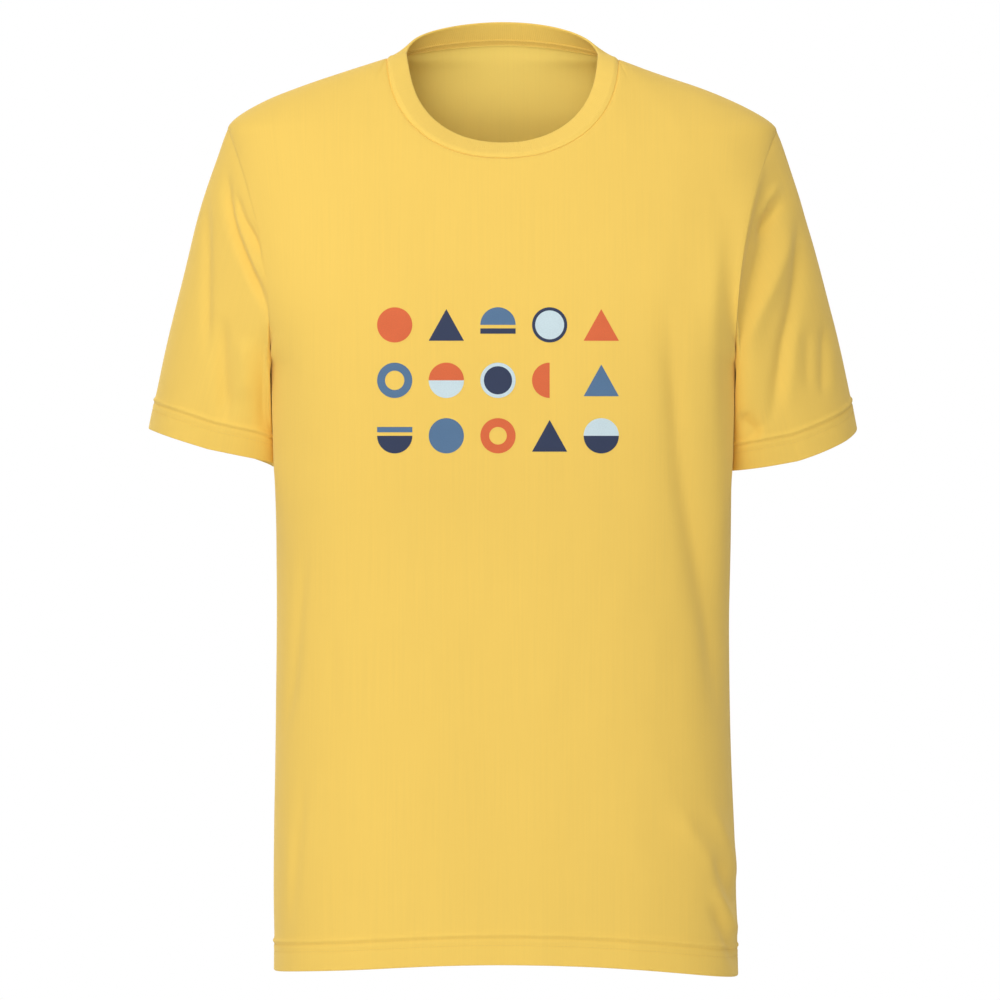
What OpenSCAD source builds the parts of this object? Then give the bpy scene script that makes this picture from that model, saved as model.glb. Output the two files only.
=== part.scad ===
// Crew-neck T-shirt in jersey knit, shaped as it hangs on an unseen wearer.
// The origin is the middle of the neck opening, level with the tops of the shoulder seams.
// +X is the wearer's left, -Y the front and +Z up. Heights are given as drops below the origin.

/* [Fabric] */
// Thickness of the shell that stands for one layer of jersey
fabric_t = 1.2; // [0.8:0.1:2.5]
// Thickness of the doubled rib of the neckband
rib_t = 2; // [1.2:0.1:3]
// Clearance between layers that are sewn together
seam_clearance = 0.3; // [0.1:0.05:0.6]
// Width of an overlocked seam allowance
seam_w = 7; // [4:0.5:10]

/* [Body] */
// Length from the top of the shoulder seam to the hem at the sides
body_length = 740; // [660:1:820]
// Width across the body at the armpits
armpit_w = 372; // [330:1:420]
// Width across the body at the waist
waist_w = 366; // [320:1:420]
// Width across the hem
hem_w = 374; // [330:1:430]
// Drop to the fullest part of the chest
chest_drop = 215; // [180:1:250]
// Drop to the waist
waist_drop = 430; // [380:1:500]
// Reach of the chest in front of the shoulder seam
chest_front = 120; // [95:1:145]
// Reach of the shoulder blades behind the shoulder seam
blade_back = 106; // [85:1:130]
// Reach of the waist to the front
waist_front = 110; // [85:1:140]
// Reach of the waist to the back
waist_back = 92; // [75:1:125]
// Reach of the hem to the front
hem_front = 114; // [90:1:145]
// Reach of the hem to the back
hem_back = 108; // [85:1:135]
// Depth of the turned-up hem
hem_depth = 22; // [15:1:35]
// Rise of the hem at the centre front
hem_rise = 13; // [0:1:25]

/* [Shoulders and armholes] */
// Width between the two shoulder points
shoulder_w = 444; // [410:1:490]
// Drop of the shoulder points
shoulder_drop = 58; // [45:1:70]
// Height of the armhole, from the shoulder point down to the armpit
armhole_depth = 190; // [165:1:220]
// Width of the tape inside the shoulder seams
tape_w = 10; // [6:0.5:14]

/* [Neck] */
// Width of the neck seam
neck_w = 186; // [170:1:205]
// Drop of the neck seam at the centre front
neck_drop = 84; // [65:1:105]
// Rise of the neck seam at the centre back
neck_rise = 14; // [5:1:20]
// Reach of the front neck seam in front of the shoulder seam
neck_front = 78; // [62:1:92]
// Reach of the body at the sides of the neck, to the front
neck_side_front = 28; // [20:1:50]
// Reach of the back neck seam behind the shoulder seam
neck_back = 55; // [42:1:64]
// Width of the neckband
band_w = 19; // [12:0.5:28]
// Width of the tape that covers the back neck seam, up the inside of the neckband
neck_tape_w = 5; // [3:0.5:8]

/* [Sleeves] */
// Length from the shoulder point to the cuff, along the outside
sleeve_length = 250; // [200:1:300]
// Gap between the body's side and the inner end of the cuff
cuff_gap = 2; // [1.5:0.5:20]
// Tilt of the cuff away from the level, in degrees
cuff_tilt = 17; // [10:0.5:26]
// Width of the cuff, side to side
cuff_w = 99; // [85:1:120]
// Depth of the cuff, front to back
cuff_d = 118; // [100:1:140]
// How far the cuff hangs behind the shoulder seam
cuff_set_back = 22; // [0:1:35]
// How far the cuff slants outwards from its middle to its front
cuff_slant = 20; // [0:1:30]
// How much lower the cuff hangs at its front than at its sides
cuff_dip = 8; // [0:0.5:16]
// Outward swell of the sleeve midway, except towards the body
sleeve_swell = 4.5; // [0:0.5:10]
// Depth of the turned-up sleeve hem
cuff_hem_depth = 22; // [15:1:35]

/* [Hidden] */

jersey_colour = [0.965, 0.824, 0.42];
rib_colour = [0.953, 0.808, 0.408];
tape_colour = [0.93, 0.78, 0.38];

// Half widths and drops that several pieces share
neck_half = neck_w / 2;
shoulder_half = shoulder_w / 2;
armpit_half = armpit_w / 2;
armpit_drop = shoulder_drop + armhole_depth;
side_length = body_length - armpit_drop;

// Powers of the curves: section of the neck and of the body, armhole edge, armhole depth, shoulder line
// and neckline
neck_section_power = 2.1;
body_section_power = 2.6;
armhole_edge_power = 2.2;
armhole_depth_power = 3;
shoulder_power = 1.5;
neckline_power = 2.2;

// Lean of the neckband away from the upright at the front, the sides and the back, in degrees
band_lean_front = 50;
band_lean_side = 78;
band_lean_back = 15;
// How fast the neck narrows above the shoulder seam
neck_taper_share = 1.2;

// Steps of the differences that give a surface's normal
across_step = 0.5;
along_step_share = 0.004;

// Counts of the facets
body_rows = 12;
armhole_rows = 16;
shoulder_columns = 8;
neck_columns = 6;
sleeve_columns = 36;
sleeve_rows = 9;
band_columns = 56;
tape_columns = 12;

// Curves that give the body its form

function clamp(value, low, high) = min(high, max(low, value));
function unit(vector) = vector / norm(vector);

// Slope of a curve at one of its knots
function knot_slope(knots, i) =
    let (before = knots[max(i - 1, 0)], after = knots[min(i + 1, len(knots) - 1)])
    (after[1] - before[1]) / (after[0] - before[0]);

// Number of the span of a curve that holds a drop
function knot_span(knots, drop, i = 0) =
    i == len(knots) - 2 || drop < knots[i + 1][0] ? i : knot_span(knots, drop, i + 1);

// A smooth curve through knots of [drop, value], level beyond its ends
function smooth(knots, drop) =
    let (
        i = knot_span(knots, drop),
        span = knots[i + 1][0] - knots[i][0],
        s = clamp((drop - knots[i][0]) / span, 0, 1),
        rise = s * s * (3 - 2 * s),
        bend_in = s * (1 - s) * (1 - s) * span,
        bend_out = s * s * (1 - s) * span
    )
    knots[i][1] * (1 - rise) + knots[i + 1][1] * rise
        + knot_slope(knots, i) * bend_in - knot_slope(knots, i + 1) * bend_out;

// How far the body reaches to the front and to the back of the shoulder seam
function front_reach(drop) = smooth([
    [0, neck_side_front], [neck_drop, neck_front], [chest_drop, chest_front],
    [waist_drop, waist_front], [body_length, hem_front]
], drop);
function back_reach(drop) = smooth([
    [0, neck_back], [chest_drop, blade_back], [waist_drop, waist_back], [body_length, hem_back]
], drop);

// Half the width of the body below the arms
function side_half(drop) = smooth([
    [armpit_drop, armpit_half], [waist_drop, waist_w / 2], [body_length, hem_w / 2]
], drop);

// Drop of the shoulder seam at a distance from the centre, and the distance at a drop
function shoulder_line(x) =
    let (run = clamp((x - neck_half) / (shoulder_half - neck_half), 0, 1))
    shoulder_drop * (1 - pow(1 - run, 1 / shoulder_power));
function shoulder_reach(drop) =
    neck_half + (shoulder_half - neck_half)
        * (1 - pow(1 - clamp(drop / shoulder_drop, 0, 1), shoulder_power));

// Half the width of the torso's section, where "inset" is the distance from the panel's edge:
// the armpit is sharp at the edge and eases off towards the centre
function torso_half(drop, inset) =
    let (
        up = (armpit_drop - drop) / armhole_depth,
        soft = clamp((up + sqrt(up * up + pow(inset / armhole_depth, 2))) / 2, 0, 1),
        widening = 1 - pow(1 - soft, armhole_depth_power)
    )
    drop < 0 ? neck_half + drop * neck_taper_share
    : drop < shoulder_drop ? shoulder_reach(drop)
    : side_half(drop) + (shoulder_half - armpit_half) * widening;

// Depth of the torso's section at a distance from the centre, as a share of its reach:
// the section is boxier at the chest than at the neck
function section_power(drop) = smooth([[0, neck_section_power], [chest_drop, body_section_power]], drop);
function section_share(x, half, power) = pow(max(0, 1 - pow(min(1, abs(x) / half), power)), 1 / power);

// Half the width of a panel between armpit (0) and shoulder point (1)
function armhole_edge(up) =
    armpit_half + (shoulder_half - armpit_half) * pow(up, armhole_edge_power);

// Drop of the neck seam at a distance from the centre
function neckline(x, front) =
    let (share = min(1, abs(x) / neck_half))
    front ? neck_drop * pow(1 - pow(share, neckline_power), 1 / neckline_power)
    : -neck_rise * (1 - share * share);

// Drop of a panel's top edge: neck seam in the middle, shoulder seam beside it
function top_edge(x, front) =
    abs(x) < neck_half ? neckline(x, front) : shoulder_line(abs(x));

// A point of the body at a distance from the centre and a drop
function body_point(x, drop, inset, front) =
    let (depth = section_share(x, torso_half(drop, inset), section_power(drop)))
    [x, front ? -front_reach(drop) * depth : back_reach(drop) * depth, -drop];

// Half the width that a panel's columns follow above the armpit:
// the armhole at the edge, and upright at the top towards the neck
function column_half(wide, up) =
    let (level = armpit_half + (shoulder_half - armpit_half) * up * up * (3 - 2 * up))
    level + (armhole_edge(up) - level) * wide * wide;

// A point of a panel: "wide" runs from edge (-1) to edge (1),
// and "high" from the hem (0) over the armpit (1) to the top (2)
function panel_point(wide, high, front) =
    let (
        rise = front ? hem_rise * (1 - wide * wide) : 0,
        hem_drop = body_length - rise,
        up = high - 1,
        drop = up < 0 ? armpit_drop - up * (hem_drop - armpit_drop)
            : armpit_drop + up * (top_edge(wide * shoulder_half, front) - armpit_drop),
        half = up < 0 ? side_half(drop) : column_half(wide, up)
    )
    body_point(wide * half, drop, (1 - abs(wide)) * half, front);

// The same point from an angle across (-90 to 90) and an eased height,
// which crowd the points where the cloth turns
function eased(up) = up * up / (up * up + (1 - up) * (1 - up));
function wide_of(angle) =
    sign(angle) * pow(abs(sin(clamp(angle, -90, 90))), 2 / body_section_power);
function angle_of(wide) = asin(pow(wide, body_section_power / 2));
function high_of(height) = height < 1 ? max(0, height) : 1 + eased(min(height, 2) - 1);
function front_point(angle, height) = panel_point(wide_of(angle), high_of(height), true);
function back_point(angle, height) = panel_point(-wide_of(angle), high_of(height), false);

// The armhole's loop: 0 at the shoulder point, 90 at the front, 180 at the armpit and 270 at the back
function armhole_point(turn) =
    let (up = (1 + cos(turn)) / 2)
    body_point(armhole_edge(up), armpit_drop - up * armhole_depth, 0, sin(turn) > 0);

// The cuff's loop, with the same turns
cuff_reach = armpit_half + cuff_gap + cuff_w * cos(cuff_tilt);
sleeve_fall = sqrt(pow(sleeve_length, 2) - pow(cuff_reach - shoulder_half, 2));
cuff_tip = [cuff_reach, cuff_set_back, -shoulder_drop - sleeve_fall];
cuff_out = [cos(cuff_tilt), 0, sin(cuff_tilt)];
function cuff_point(turn) =
    cuff_tip + cuff_out * (cos(turn) - 1) * cuff_w / 2 + [cuff_slant, -cuff_d / 2, -cuff_dip] * sin(turn);

// A point of the left sleeve: "run" goes from armhole (0) over the top of the hem (1) to the cuff (2)
function sleeve_start(turn) = armhole_point(turn) + [fabric_t + seam_clearance, 0, 0];
function sleeve_run(turn) = norm(cuff_point(turn) - sleeve_start(turn));
function sleeve_point(turn, run) =
    let (
        hem_share = cuff_hem_depth / sleeve_run(turn),
        s = run < 1 ? max(0, run) * (1 - hem_share) : 1 - (2 - min(run, 2)) * hem_share,
        swell = cuff_out * max(0, cos(turn)) - [0, sin(turn), 0]
    )
    sleeve_start(turn) * (1 - s) + cuff_point(turn) * s + swell * sleeve_swell * 4 * s * (1 - s);

// The neck seam's loop: 0 at the wearer's left, 90 at the back, 180 at the right and 270 at the front
function neck_point(turn) =
    let (x = neck_half * cos(turn), front = sin(turn) < 0)
    body_point(x, neckline(x, front), 0, front);

// A point of the neckband, from the neck seam (0) to its free edge (1)
function band_point(turn, up) =
    let (
        seam = neck_point(turn),
        inward = -unit([seam.x, seam.y, 0]),
        far_lean = sin(turn) > 0 ? band_lean_back : band_lean_front,
        lean = band_lean_side + (far_lean - band_lean_side) * abs(sin(turn))
    )
    seam + (inward * sin(lean) + [0, 0, cos(lean)]) * band_w * up;

// Ways of laying cloth

// Outward normal of a surface
function normal(form, a, b) =
    unit(cross(
        form(a + across_step, b) - form(a - across_step, b),
        form(a, b + along_step_share) - form(a, b - along_step_share)
    ));

// One layer of cloth over a surface, between two heights above it; a closed one joins up across
module cloth(form, across, along, lower, upper, closed = false) {
    columns = len(across);
    rows = len(along);
    grid = [for (b = along) [for (a = across) [form(a, b), normal(form, a, b)]]];
    points = [
        for (height = [upper, lower])
            for (row = grid)
                for (place = row) place[0] + place[1] * height
    ];
    function at(layer, i, j) = (layer * rows + i) * columns + j % columns;
    last = closed ? columns - 1 : columns - 2;
    skins = [
        for (layer = [0, 1])
            for (i = [0 : rows - 2])
                for (j = [0 : last])
                    let (
                        near = at(layer, i, j),
                        far = at(layer, i + 1, j + 1),
                        up = at(layer, i + 1, j),
                        along = at(layer, i, j + 1)
                    )
                    each layer == 0 ? [[near, up, far], [near, far, along]]
                        : [[near, far, up], [near, along, far]]
    ];
    ends = [
        for (j = [0 : last])
            each [
                [at(0, 0, j), at(0, 0, j + 1), at(1, 0, j + 1)],
                [at(0, 0, j), at(1, 0, j + 1), at(1, 0, j)],
                [at(0, rows - 1, j), at(1, rows - 1, j + 1), at(0, rows - 1, j + 1)],
                [at(0, rows - 1, j), at(1, rows - 1, j), at(1, rows - 1, j + 1)]
            ]
    ];
    sides = closed ? [] : [
        for (i = [0 : rows - 2])
            each [
                [at(0, i, 0), at(1, i, 0), at(1, i + 1, 0)],
                [at(0, i, 0), at(1, i + 1, 0), at(0, i + 1, 0)],
                [at(0, i, columns - 1), at(1, i + 1, columns - 1), at(1, i, columns - 1)],
                [at(0, i, columns - 1), at(0, i + 1, columns - 1), at(1, i + 1, columns - 1)]
            ]
    ];
    polyhedron(points = points, faces = concat(skins, ends, sides), convexity = 10);
}

// Evenly spaced values from one to another
function spaced(from, to, count) = [for (i = [0 : count]) from + (to - from) * i / count];

// Angles across a panel, with one at each top of the shoulder seam and one at each side seam's edge
neck_share = neck_half / shoulder_half;
seam_angle = acos(pow(seam_w / waist_back, body_section_power / 2));
right_angles = concat(
    [for (i = [0 : neck_columns - 1]) angle_of(neck_share * sin(90 * i / neck_columns))],
    spaced(angle_of(neck_share), seam_angle, shoulder_columns), [90]
);
panel_angles = concat([for (i = [len(right_angles) - 1 : -1 : 1]) -right_angles[i]], right_angles);

// Heights up a panel, with one at the top of the hem
hem_height = hem_depth / side_length;
hem_heights = [0, hem_height];
panel_heights = concat(
    [0], spaced(hem_height, 1, body_rows), [for (i = [1 : armhole_rows]) 1 + i / armhole_rows]
);
sleeve_turns = [for (i = [0 : sleeve_columns - 1]) 360 * i / sleeve_columns];

// Layers: the outer cloth lies about the surface, and what is sewn inside lies clear under it
outer_face = fabric_t / 2;
inner_face = -fabric_t / 2;
lining_top = inner_face - seam_clearance;
lining_face = lining_top - fabric_t;

// Body

module front_panel() {
    color(jersey_colour)
        cloth(function(a, b) front_point(a, b), panel_angles, panel_heights, inner_face, outer_face);
}

module back_panel() {
    color(jersey_colour)
        cloth(function(a, b) back_point(a, b), panel_angles, panel_heights, inner_face, outer_face);
}

module front_hem_fold() {
    color(jersey_colour)
        cloth(function(a, b) front_point(a, b), panel_angles, hem_heights, lining_face, lining_top);
}

module back_hem_fold() {
    color(jersey_colour)
        cloth(function(a, b) back_point(a, b), panel_angles, hem_heights, lining_face, lining_top);
}

// The overlocked allowance lies on the back panel; "side" is 1 at the wearer's left
module side_seam(side) {
    angles = side > 0 ? [-90, -seam_angle] : [seam_angle, 90];
    heights = spaced(hem_height, 1, body_rows);
    color(jersey_colour)
        cloth(function(a, b) back_point(a, b), angles, heights, lining_face, lining_top);
}

// Shoulder and neck tapes

// A point of the shoulder tape on the back of the wearer's left shoulder
function shoulder_tape_point(x, across) =
    let (
        depth = across * tape_w,
        seam_drop = shoulder_line(x),
        drop = shoulder_line(x / section_share(depth, back_reach(seam_drop), section_power(seam_drop)))
    )
    [x, depth, -drop];

module shoulder_tape() {
    margin = seam_w;
    color(tape_colour)
        cloth(
            function(a, b) shoulder_tape_point(clamp(a, neck_half, shoulder_half), clamp(b, 0, 1)),
            spaced(neck_half + margin, shoulder_half - margin, tape_columns),
            spaced(0, 1, 2), lining_face - seam_clearance, lining_top - seam_clearance
        );
}

// Heights up the neckband, with one at the top of the neck tape
band_foot = rib_t / 2 / band_w;
band_tape_top = (rib_t / 2 + neck_tape_w) / band_w;

module neckband() {
    turns = [for (i = [0 : band_columns - 1]) 360 * i / band_columns];
    heights = concat([band_foot], spaced(band_tape_top, 1, 2));
    color(rib_colour)
        cloth(function(a, b) band_point(a, b), turns, heights, -rib_t / 2, rib_t / 2, true);
}

module neck_tape() {
    turns = [for (i = [1 : band_columns / 2 - 1]) 360 * i / band_columns];
    top = -rib_t / 2 - seam_clearance;
    color(tape_colour)
        cloth(function(a, b) band_point(a, b), turns, [band_foot, band_tape_top], top - fabric_t, top);
}

// Left sleeve

module sleeve() {
    color(jersey_colour)
        cloth(
            function(a, b) sleeve_point(a, b),
            sleeve_turns, concat(spaced(0, 1, sleeve_rows), [2]), inner_face, outer_face, true
        );
}

module cuff_fold() {
    color(jersey_colour)
        cloth(function(a, b) sleeve_point(a, b), sleeve_turns, [1, 2], lining_face, lining_top, true);
}

module armhole_seam() {
    color(jersey_colour)
        cloth(
            function(a, b) sleeve_point(a, b * seam_w / (sleeve_run(a) - cuff_hem_depth)),
            sleeve_turns, [0, 1], lining_face, lining_top, true
        );
}

module underarm_seam() {
    reach_turn = 2 * asin(seam_w / cuff_d);
    first_run = seam_w / (sleeve_run(180) - cuff_hem_depth);
    color(jersey_colour)
        cloth(
            function(a, b) sleeve_point(a, b),
            spaced(180, 180 + reach_turn, 2), spaced(first_run, 1, sleeve_rows), lining_face, lining_top
        );
}

front_panel();
back_panel();
sleeve();  // left_sleeve
mirror([1, 0, 0]) sleeve();  // right_sleeve
neckband();
neck_tape();
shoulder_tape();  // left_shoulder_tape
mirror([1, 0, 0]) shoulder_tape();  // right_shoulder_tape
front_hem_fold();
back_hem_fold();
cuff_fold();  // left_cuff_fold
mirror([1, 0, 0]) cuff_fold();  // right_cuff_fold
side_seam(1);  // left_side_seam
side_seam(-1);  // right_side_seam
armhole_seam();  // left_armhole_seam
mirror([1, 0, 0]) armhole_seam();  // right_armhole_seam
underarm_seam();  // left_underarm_seam
mirror([1, 0, 0]) underarm_seam();  // right_underarm_seam
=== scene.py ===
"""Looks of a crew-neck T-shirt in jersey knit, filled out as on an unseen wearer.

The cut repeats the part's own formulas. Folds, hems, seams, rib and stitches are then modelled into it.
+X is the wearer's left, -Y the front and +Z up, in metres.
"""

import bpy
import numpy as np
from mathutils import Matrix, Vector
from mathutils.bvhtree import BVHTree


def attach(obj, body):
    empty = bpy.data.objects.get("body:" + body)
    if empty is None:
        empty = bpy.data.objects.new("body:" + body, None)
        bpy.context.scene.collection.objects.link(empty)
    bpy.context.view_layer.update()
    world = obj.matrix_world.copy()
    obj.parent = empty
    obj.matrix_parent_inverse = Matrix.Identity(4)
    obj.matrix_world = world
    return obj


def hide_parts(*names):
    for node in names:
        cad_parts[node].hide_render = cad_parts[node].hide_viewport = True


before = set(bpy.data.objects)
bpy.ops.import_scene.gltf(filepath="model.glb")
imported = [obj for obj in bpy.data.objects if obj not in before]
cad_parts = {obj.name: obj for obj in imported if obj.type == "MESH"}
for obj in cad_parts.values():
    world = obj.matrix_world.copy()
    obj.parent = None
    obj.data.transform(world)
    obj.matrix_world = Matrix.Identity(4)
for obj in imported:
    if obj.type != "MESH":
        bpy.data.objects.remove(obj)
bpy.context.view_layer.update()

MM = 0.001

# Sizes of the body, as in the part's source
BODY_LENGTH = 740 * MM
ARMPIT_HALF = 186 * MM
WAIST_HALF = 183 * MM
HEM_HALF = 187 * MM
CHEST_DROP = 215 * MM
WAIST_DROP = 430 * MM
CHEST_FRONT = 120 * MM
BLADE_BACK = 106 * MM
WAIST_FRONT = 110 * MM
WAIST_BACK = 92 * MM
HEM_FRONT = 114 * MM
HEM_BACK = 108 * MM
HEM_DEPTH = 22 * MM
HEM_RISE = 13 * MM

# Sizes of the shoulders, neck and sleeves; nape, cuff tuck, corner and dip are looks alone
SHOULDER_HALF = 222 * MM
SHOULDER_DROP = 58 * MM
ARMHOLE_DEPTH = 190 * MM
ARMPIT_DROP = SHOULDER_DROP + ARMHOLE_DEPTH
NECK_HALF = 93 * MM
NECK_DROP = 84 * MM
NECK_RISE = 14 * MM
NECK_FRONT = 78 * MM
NECK_SIDE_FRONT = 28 * MM
NECK_BACK = 55 * MM
NAPE_DROP = 50 * MM
NAPE_BACK = 59 * MM
BAND_WIDTH = 19 * MM
NECK_TAPE_WIDTH = 5 * MM
SHOULDER_TAPE_WIDTH = 10 * MM
SEAM_WIDTH = 7 * MM
SLEEVE_LENGTH = 250 * MM
CUFF_GAP = 1 * MM
CUFF_GAP_RISE = 10 * MM
CUFF_TILT = np.radians(17)
CUFF_WIDTH = 105 * MM
CUFF_DEPTH = 118 * MM
CUFF_SET_BACK = 22 * MM
CUFF_TUCK = 26 * MM
CUFF_CORNER = 20 * MM
CUFF_DIP = {1: 11.5 * MM, -1: 2 * MM}
SLEEVE_SWELL = 4.5 * MM

# Powers and leans of the curves
NECK_SECTION_POWER = 2.1
CHEST_SECTION_POWER = 3.4
BODY_SECTION_POWER = 2.6
ARMHOLE_EDGE_POWER = 2.2
ARMHOLE_DEPTH_POWER = 3
COLUMN_POWER = 4
COLUMN_POWER_SHARES = (1.0, 0.5)
SHOULDER_POWER = 1.5
NECKLINE_POWER = 2.2
NECK_TAPER = 1.2
BAND_LEAN_FRONT = np.radians(50)
BAND_LEAN_SIDE = np.radians(78)
BAND_LEAN_BACK = np.radians(15)
LEAN_SOFTNESS = 0.2

# Cloth
CLOTH = 0.7 * MM
LINING = CLOTH + 0.4 * MM
FOLD_GAP = 1.5 * MM
FOLD_POWER = 1.7
FOLD_TAPER = ((0, 0.3), (1, 0.7))
FOLDS_FROM_EDGE = 20 * MM
FOLDS_FROM_TOP = 14 * MM
FRONT_DRAPE = {"height": 0.5 * MM, "phase": 0.4}
BACK_DRAPE = {"height": 1.2 * MM, "phase": 1.9}
DRAPE_START = -0.2
PANEL_RIPPLE = 0.12 * MM
SLEEVE_RIPPLE = 0.14 * MM
SEAM_DIP = 0.5 * MM
SEAM_SOFTNESS = 2.6 * MM
EDGE_SOFTNESS = 6 * MM
NECK_DITCH = 0.8 * MM
NECK_DITCH_WIDTH = 0.8 * MM

# Fullness of the front: a puff beside the left armhole, and squared corners below the armpits.
# A window is given as two steps, each from where it is 0 to where it is 1
ARMHOLE_PUFF = 8 * MM
ARMHOLE_PUFF_WIDTH = 50 * MM
ARMHOLE_PUFF_HEIGHTS = np.array([(-70, -130), (-246, -200)]) * MM
EDGE_FILL = 4 * MM
EDGE_FILL_PAST_SIDE = 0.3 * MM
EDGE_FILL_INSETS = np.array([(0, 20), (90, 45)]) * MM
EDGE_FILL_HEIGHTS = np.array([(-222, -242), (-400, -320)]) * MM

# Hems and stitches
HEM_DOUBLING = 0.45 * MM
HEM_SOFTNESS = 1.5 * MM
HEM_FADE = 6 * MM
HEM_RIDGE = 1.3 * MM
HEM_RIDGE_RISE = 1.4 * MM
HEM_RIDGE_WIDTH = 1.7 * MM
STITCH_ROWS = (HEM_DEPTH - 1 * MM, HEM_DEPTH - 7 * MM)
FURROWS = (0.7 * MM, 0.2 * MM)
FURROW_WIDTH = 1.2 * MM
PUCKER = 0.16 * MM
PUCKER_WIDTH = 8 * MM
STITCH_LENGTH = 2.4 * MM
STITCH_STEP = 3.0 * MM
STITCH_RADIUS = 0.24 * MM
STITCH_SIDES = 6
STITCH_AHEAD = 0.5 * MM

# Neckband, with the rows up its face, and tapes
RIB_THICKNESS = 2.0 * MM
RIB_PITCH = 1.7 * MM
RIB_HEIGHT = 0.1 * MM
RIB_START = 2.5 * MM
RIB_COLUMNS = 4
BAND_FOOT_ROWS = np.arange(0.6, 5, 0.6) * MM
BAND_FACE_START = 5 * MM
BAND_FACE_ROWS = 8
BAND_FOOT = -0.6 * MM
BAND_FOOT_RISE = np.array([-0.5, 4.5]) * MM
TAPE_TURN = np.radians(np.linspace(5, 175, 180))
TAPE_START = -0.5 * MM
TAPE_ROWS = 6
TAPE_GAP = 0.35 * MM
TAPE_THICKNESS = 0.5 * MM
TAPE_STITCH_LIFT = 0.1 * MM
UNDERARM_COLUMNS = 4
UNDERARM_HEM_ROWS = 6

# Knit
WALE = 0.8 * MM
COURSE = 0.66 * MM
SHEEN_TINT = (1.0, 0.8, 0.38, 1.0)

# Spacing of the points: fine steps at a seam and at a hem, and counts between
EDGE_STEPS = np.array([0, 0.7, 1.5, 2.5, 4]) * MM
HEM_STEPS = np.arange(31) * MM
SHOULDER_COLUMNS = 40
NECK_COLUMNS = 80
BODY_ROWS = 110
ARMHOLE_ROWS = 88
SLEEVE_ROWS = 92
BEND_STEPS = 5
SAMPLES = 300

# Folds: height, half width, and the places each runs through as seen from the front (x, z), in mm
FRONT_FOLDS = [
    (-5.5, 10, [(126, -180), (133, -226), (142, -320), (153, -390), (163, -440), (171, -504), (179, -569)]),
    (4.5, 11, [(176, -110), (172, -160), (166, -220), (168, -318), (173, -407), (179, -471)]),
    (3.0, 7, [(136, -600), (151, -628), (163, -648), (171, -670)]),
    (-3.5, 5, [(163, -640), (176, -663), (186, -690)]),
    (2.5, 5, [(162, -598), (173, -622), (181, -644), (185, -676)]),
    (3.5, 4, [(162, -666), (172, -680), (181, -698), (188, -712)]),
    (-3.5, 5, [(164, -676), (174, -700), (183, -724), (187, -740)]),
    (-2.2, 4.5, [(-157, -380), (-163, -440), (-169, -505), (-178, -560)]),
    (-2.0, 4.5, [(-159, -565), (-165, -630), (-171, -690), (-175, -724)]),
    (1.2, 5, [(-172, -610), (-172, -715)]),
    (-1.0, 5, [(-135, -450), (-138, -545)]),
    (-1.5, 22, [(-150, -190), (-158, -300), (-160, -360)]),
]
BACK_FOLDS = [
    (5.0, 17, [(-58, -360), (-70, -540), (-78, -735)]),
    (-5.0, 15, [(66, -390), (82, -580), (92, -735)]),
    (-4.0, 10, [(-186, -232), (-140, -276), (-84, -306)]),
    (3.0, 10, [(-184, -262), (-142, -306), (-98, -338)]),
    (-4.0, 10, [(186, -230), (146, -280), (96, -320)]),
    (3.5, 11, [(182, -268), (148, -314), (106, -352)]),
    (4.5, 13, [(122, -450), (138, -600), (148, -735)]),
    (-4.0, 12, [(-122, -470), (-138, -620), (-146, -735)]),
    (-3.0, 14, [(-44, -326), (0, -350), (40, -330)]),
    (-3.0, 13, [(4, -520), (8, -640), (8, -735)]),
    (-3.5, 9, [(150, -380), (168, -470), (176, -560)]),
    (-3.0, 9, [(-152, -340), (-166, -430), (-176, -520)]),
]
RIGHT_SLEEVE_FRONT_FOLDS = [
    (-4.5, 3.6, [(-221, -82), (-219, -118), (-212, -148), (-202, -175), (-190, -203), (-184, -222)]),
    (2.2, 3.6, [(-216, -110), (-208, -143), (-199, -167), (-191, -188)]),
    (-3.2, 2.8, [(-214, -106), (-208, -130), (-198, -150), (-190, -170)]),
    (-3.0, 4.2, [(-237, -98), (-238, -180), (-239, -255)]),
    (-4.0, 6, [(-225, -205), (-226, -250), (-221, -302)]),
    (2.5, 8, [(-208, -225), (-207, -282)]),
    (-5.0, 8, [(-193, -215), (-192, -270), (-190, -315)]),
]
LEFT_SLEEVE_FRONT_FOLDS = [
    (-6.0, 9, [
        (222, -84), (216, -115), (211, -147), (204, -175), (198, -200), (193, -225), (190, -250), (188, -280)
    ]),
    (2.5, 4, [(227, -102), (220, -108), (214, -118), (207, -133)]),
    (-2.5, 4, [(227, -112), (220, -126), (212, -138), (206, -151)]),
    (4.0, 8, [(232, -124), (229, -151), (224, -167), (214, -191), (204, -211), (197, -232), (193, -256)]),
    (-4.5, 6, [
        (240, -115), (238, -152), (237, -180), (232, -208), (226, -232), (222, -260), (217, -290), (212, -312)
    ]),
    (1.2, 6, [(240, -205), (236, -228), (232, -258), (228, -290)]),
    (-1.5, 5, [(246, -215), (245, -250), (247, -275)]),
    (-2.5, 4.5, [(260, -210), (259, -246), (258, -280)]),
    (0.7, 5, [(265, -225), (267, -275)]),
    (-4.0, 7, [(188, -288), (197, -298), (208, -308)]),
]
SLEEVE_BACK_FOLDS = [
    (-4.0, 7, [(214, -92), (206, -140), (199, -190), (195, -240)]),
    (3.0, 8, [(230, -120), (222, -180), (212, -240)]),
    (-3.0, 7, [(240, -140), (236, -200), (226, -270)]),
    (2.0, 8, [(256, -200), (252, -270)]),
]
SLEEVE_FOLDS = {
    1: (LEFT_SLEEVE_FRONT_FOLDS, SLEEVE_BACK_FOLDS),
    -1: (RIGHT_SLEEVE_FRONT_FOLDS, [(h, w, [(-x, z) for x, z in path]) for h, w, path in SLEEVE_BACK_FOLDS]),
}

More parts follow.
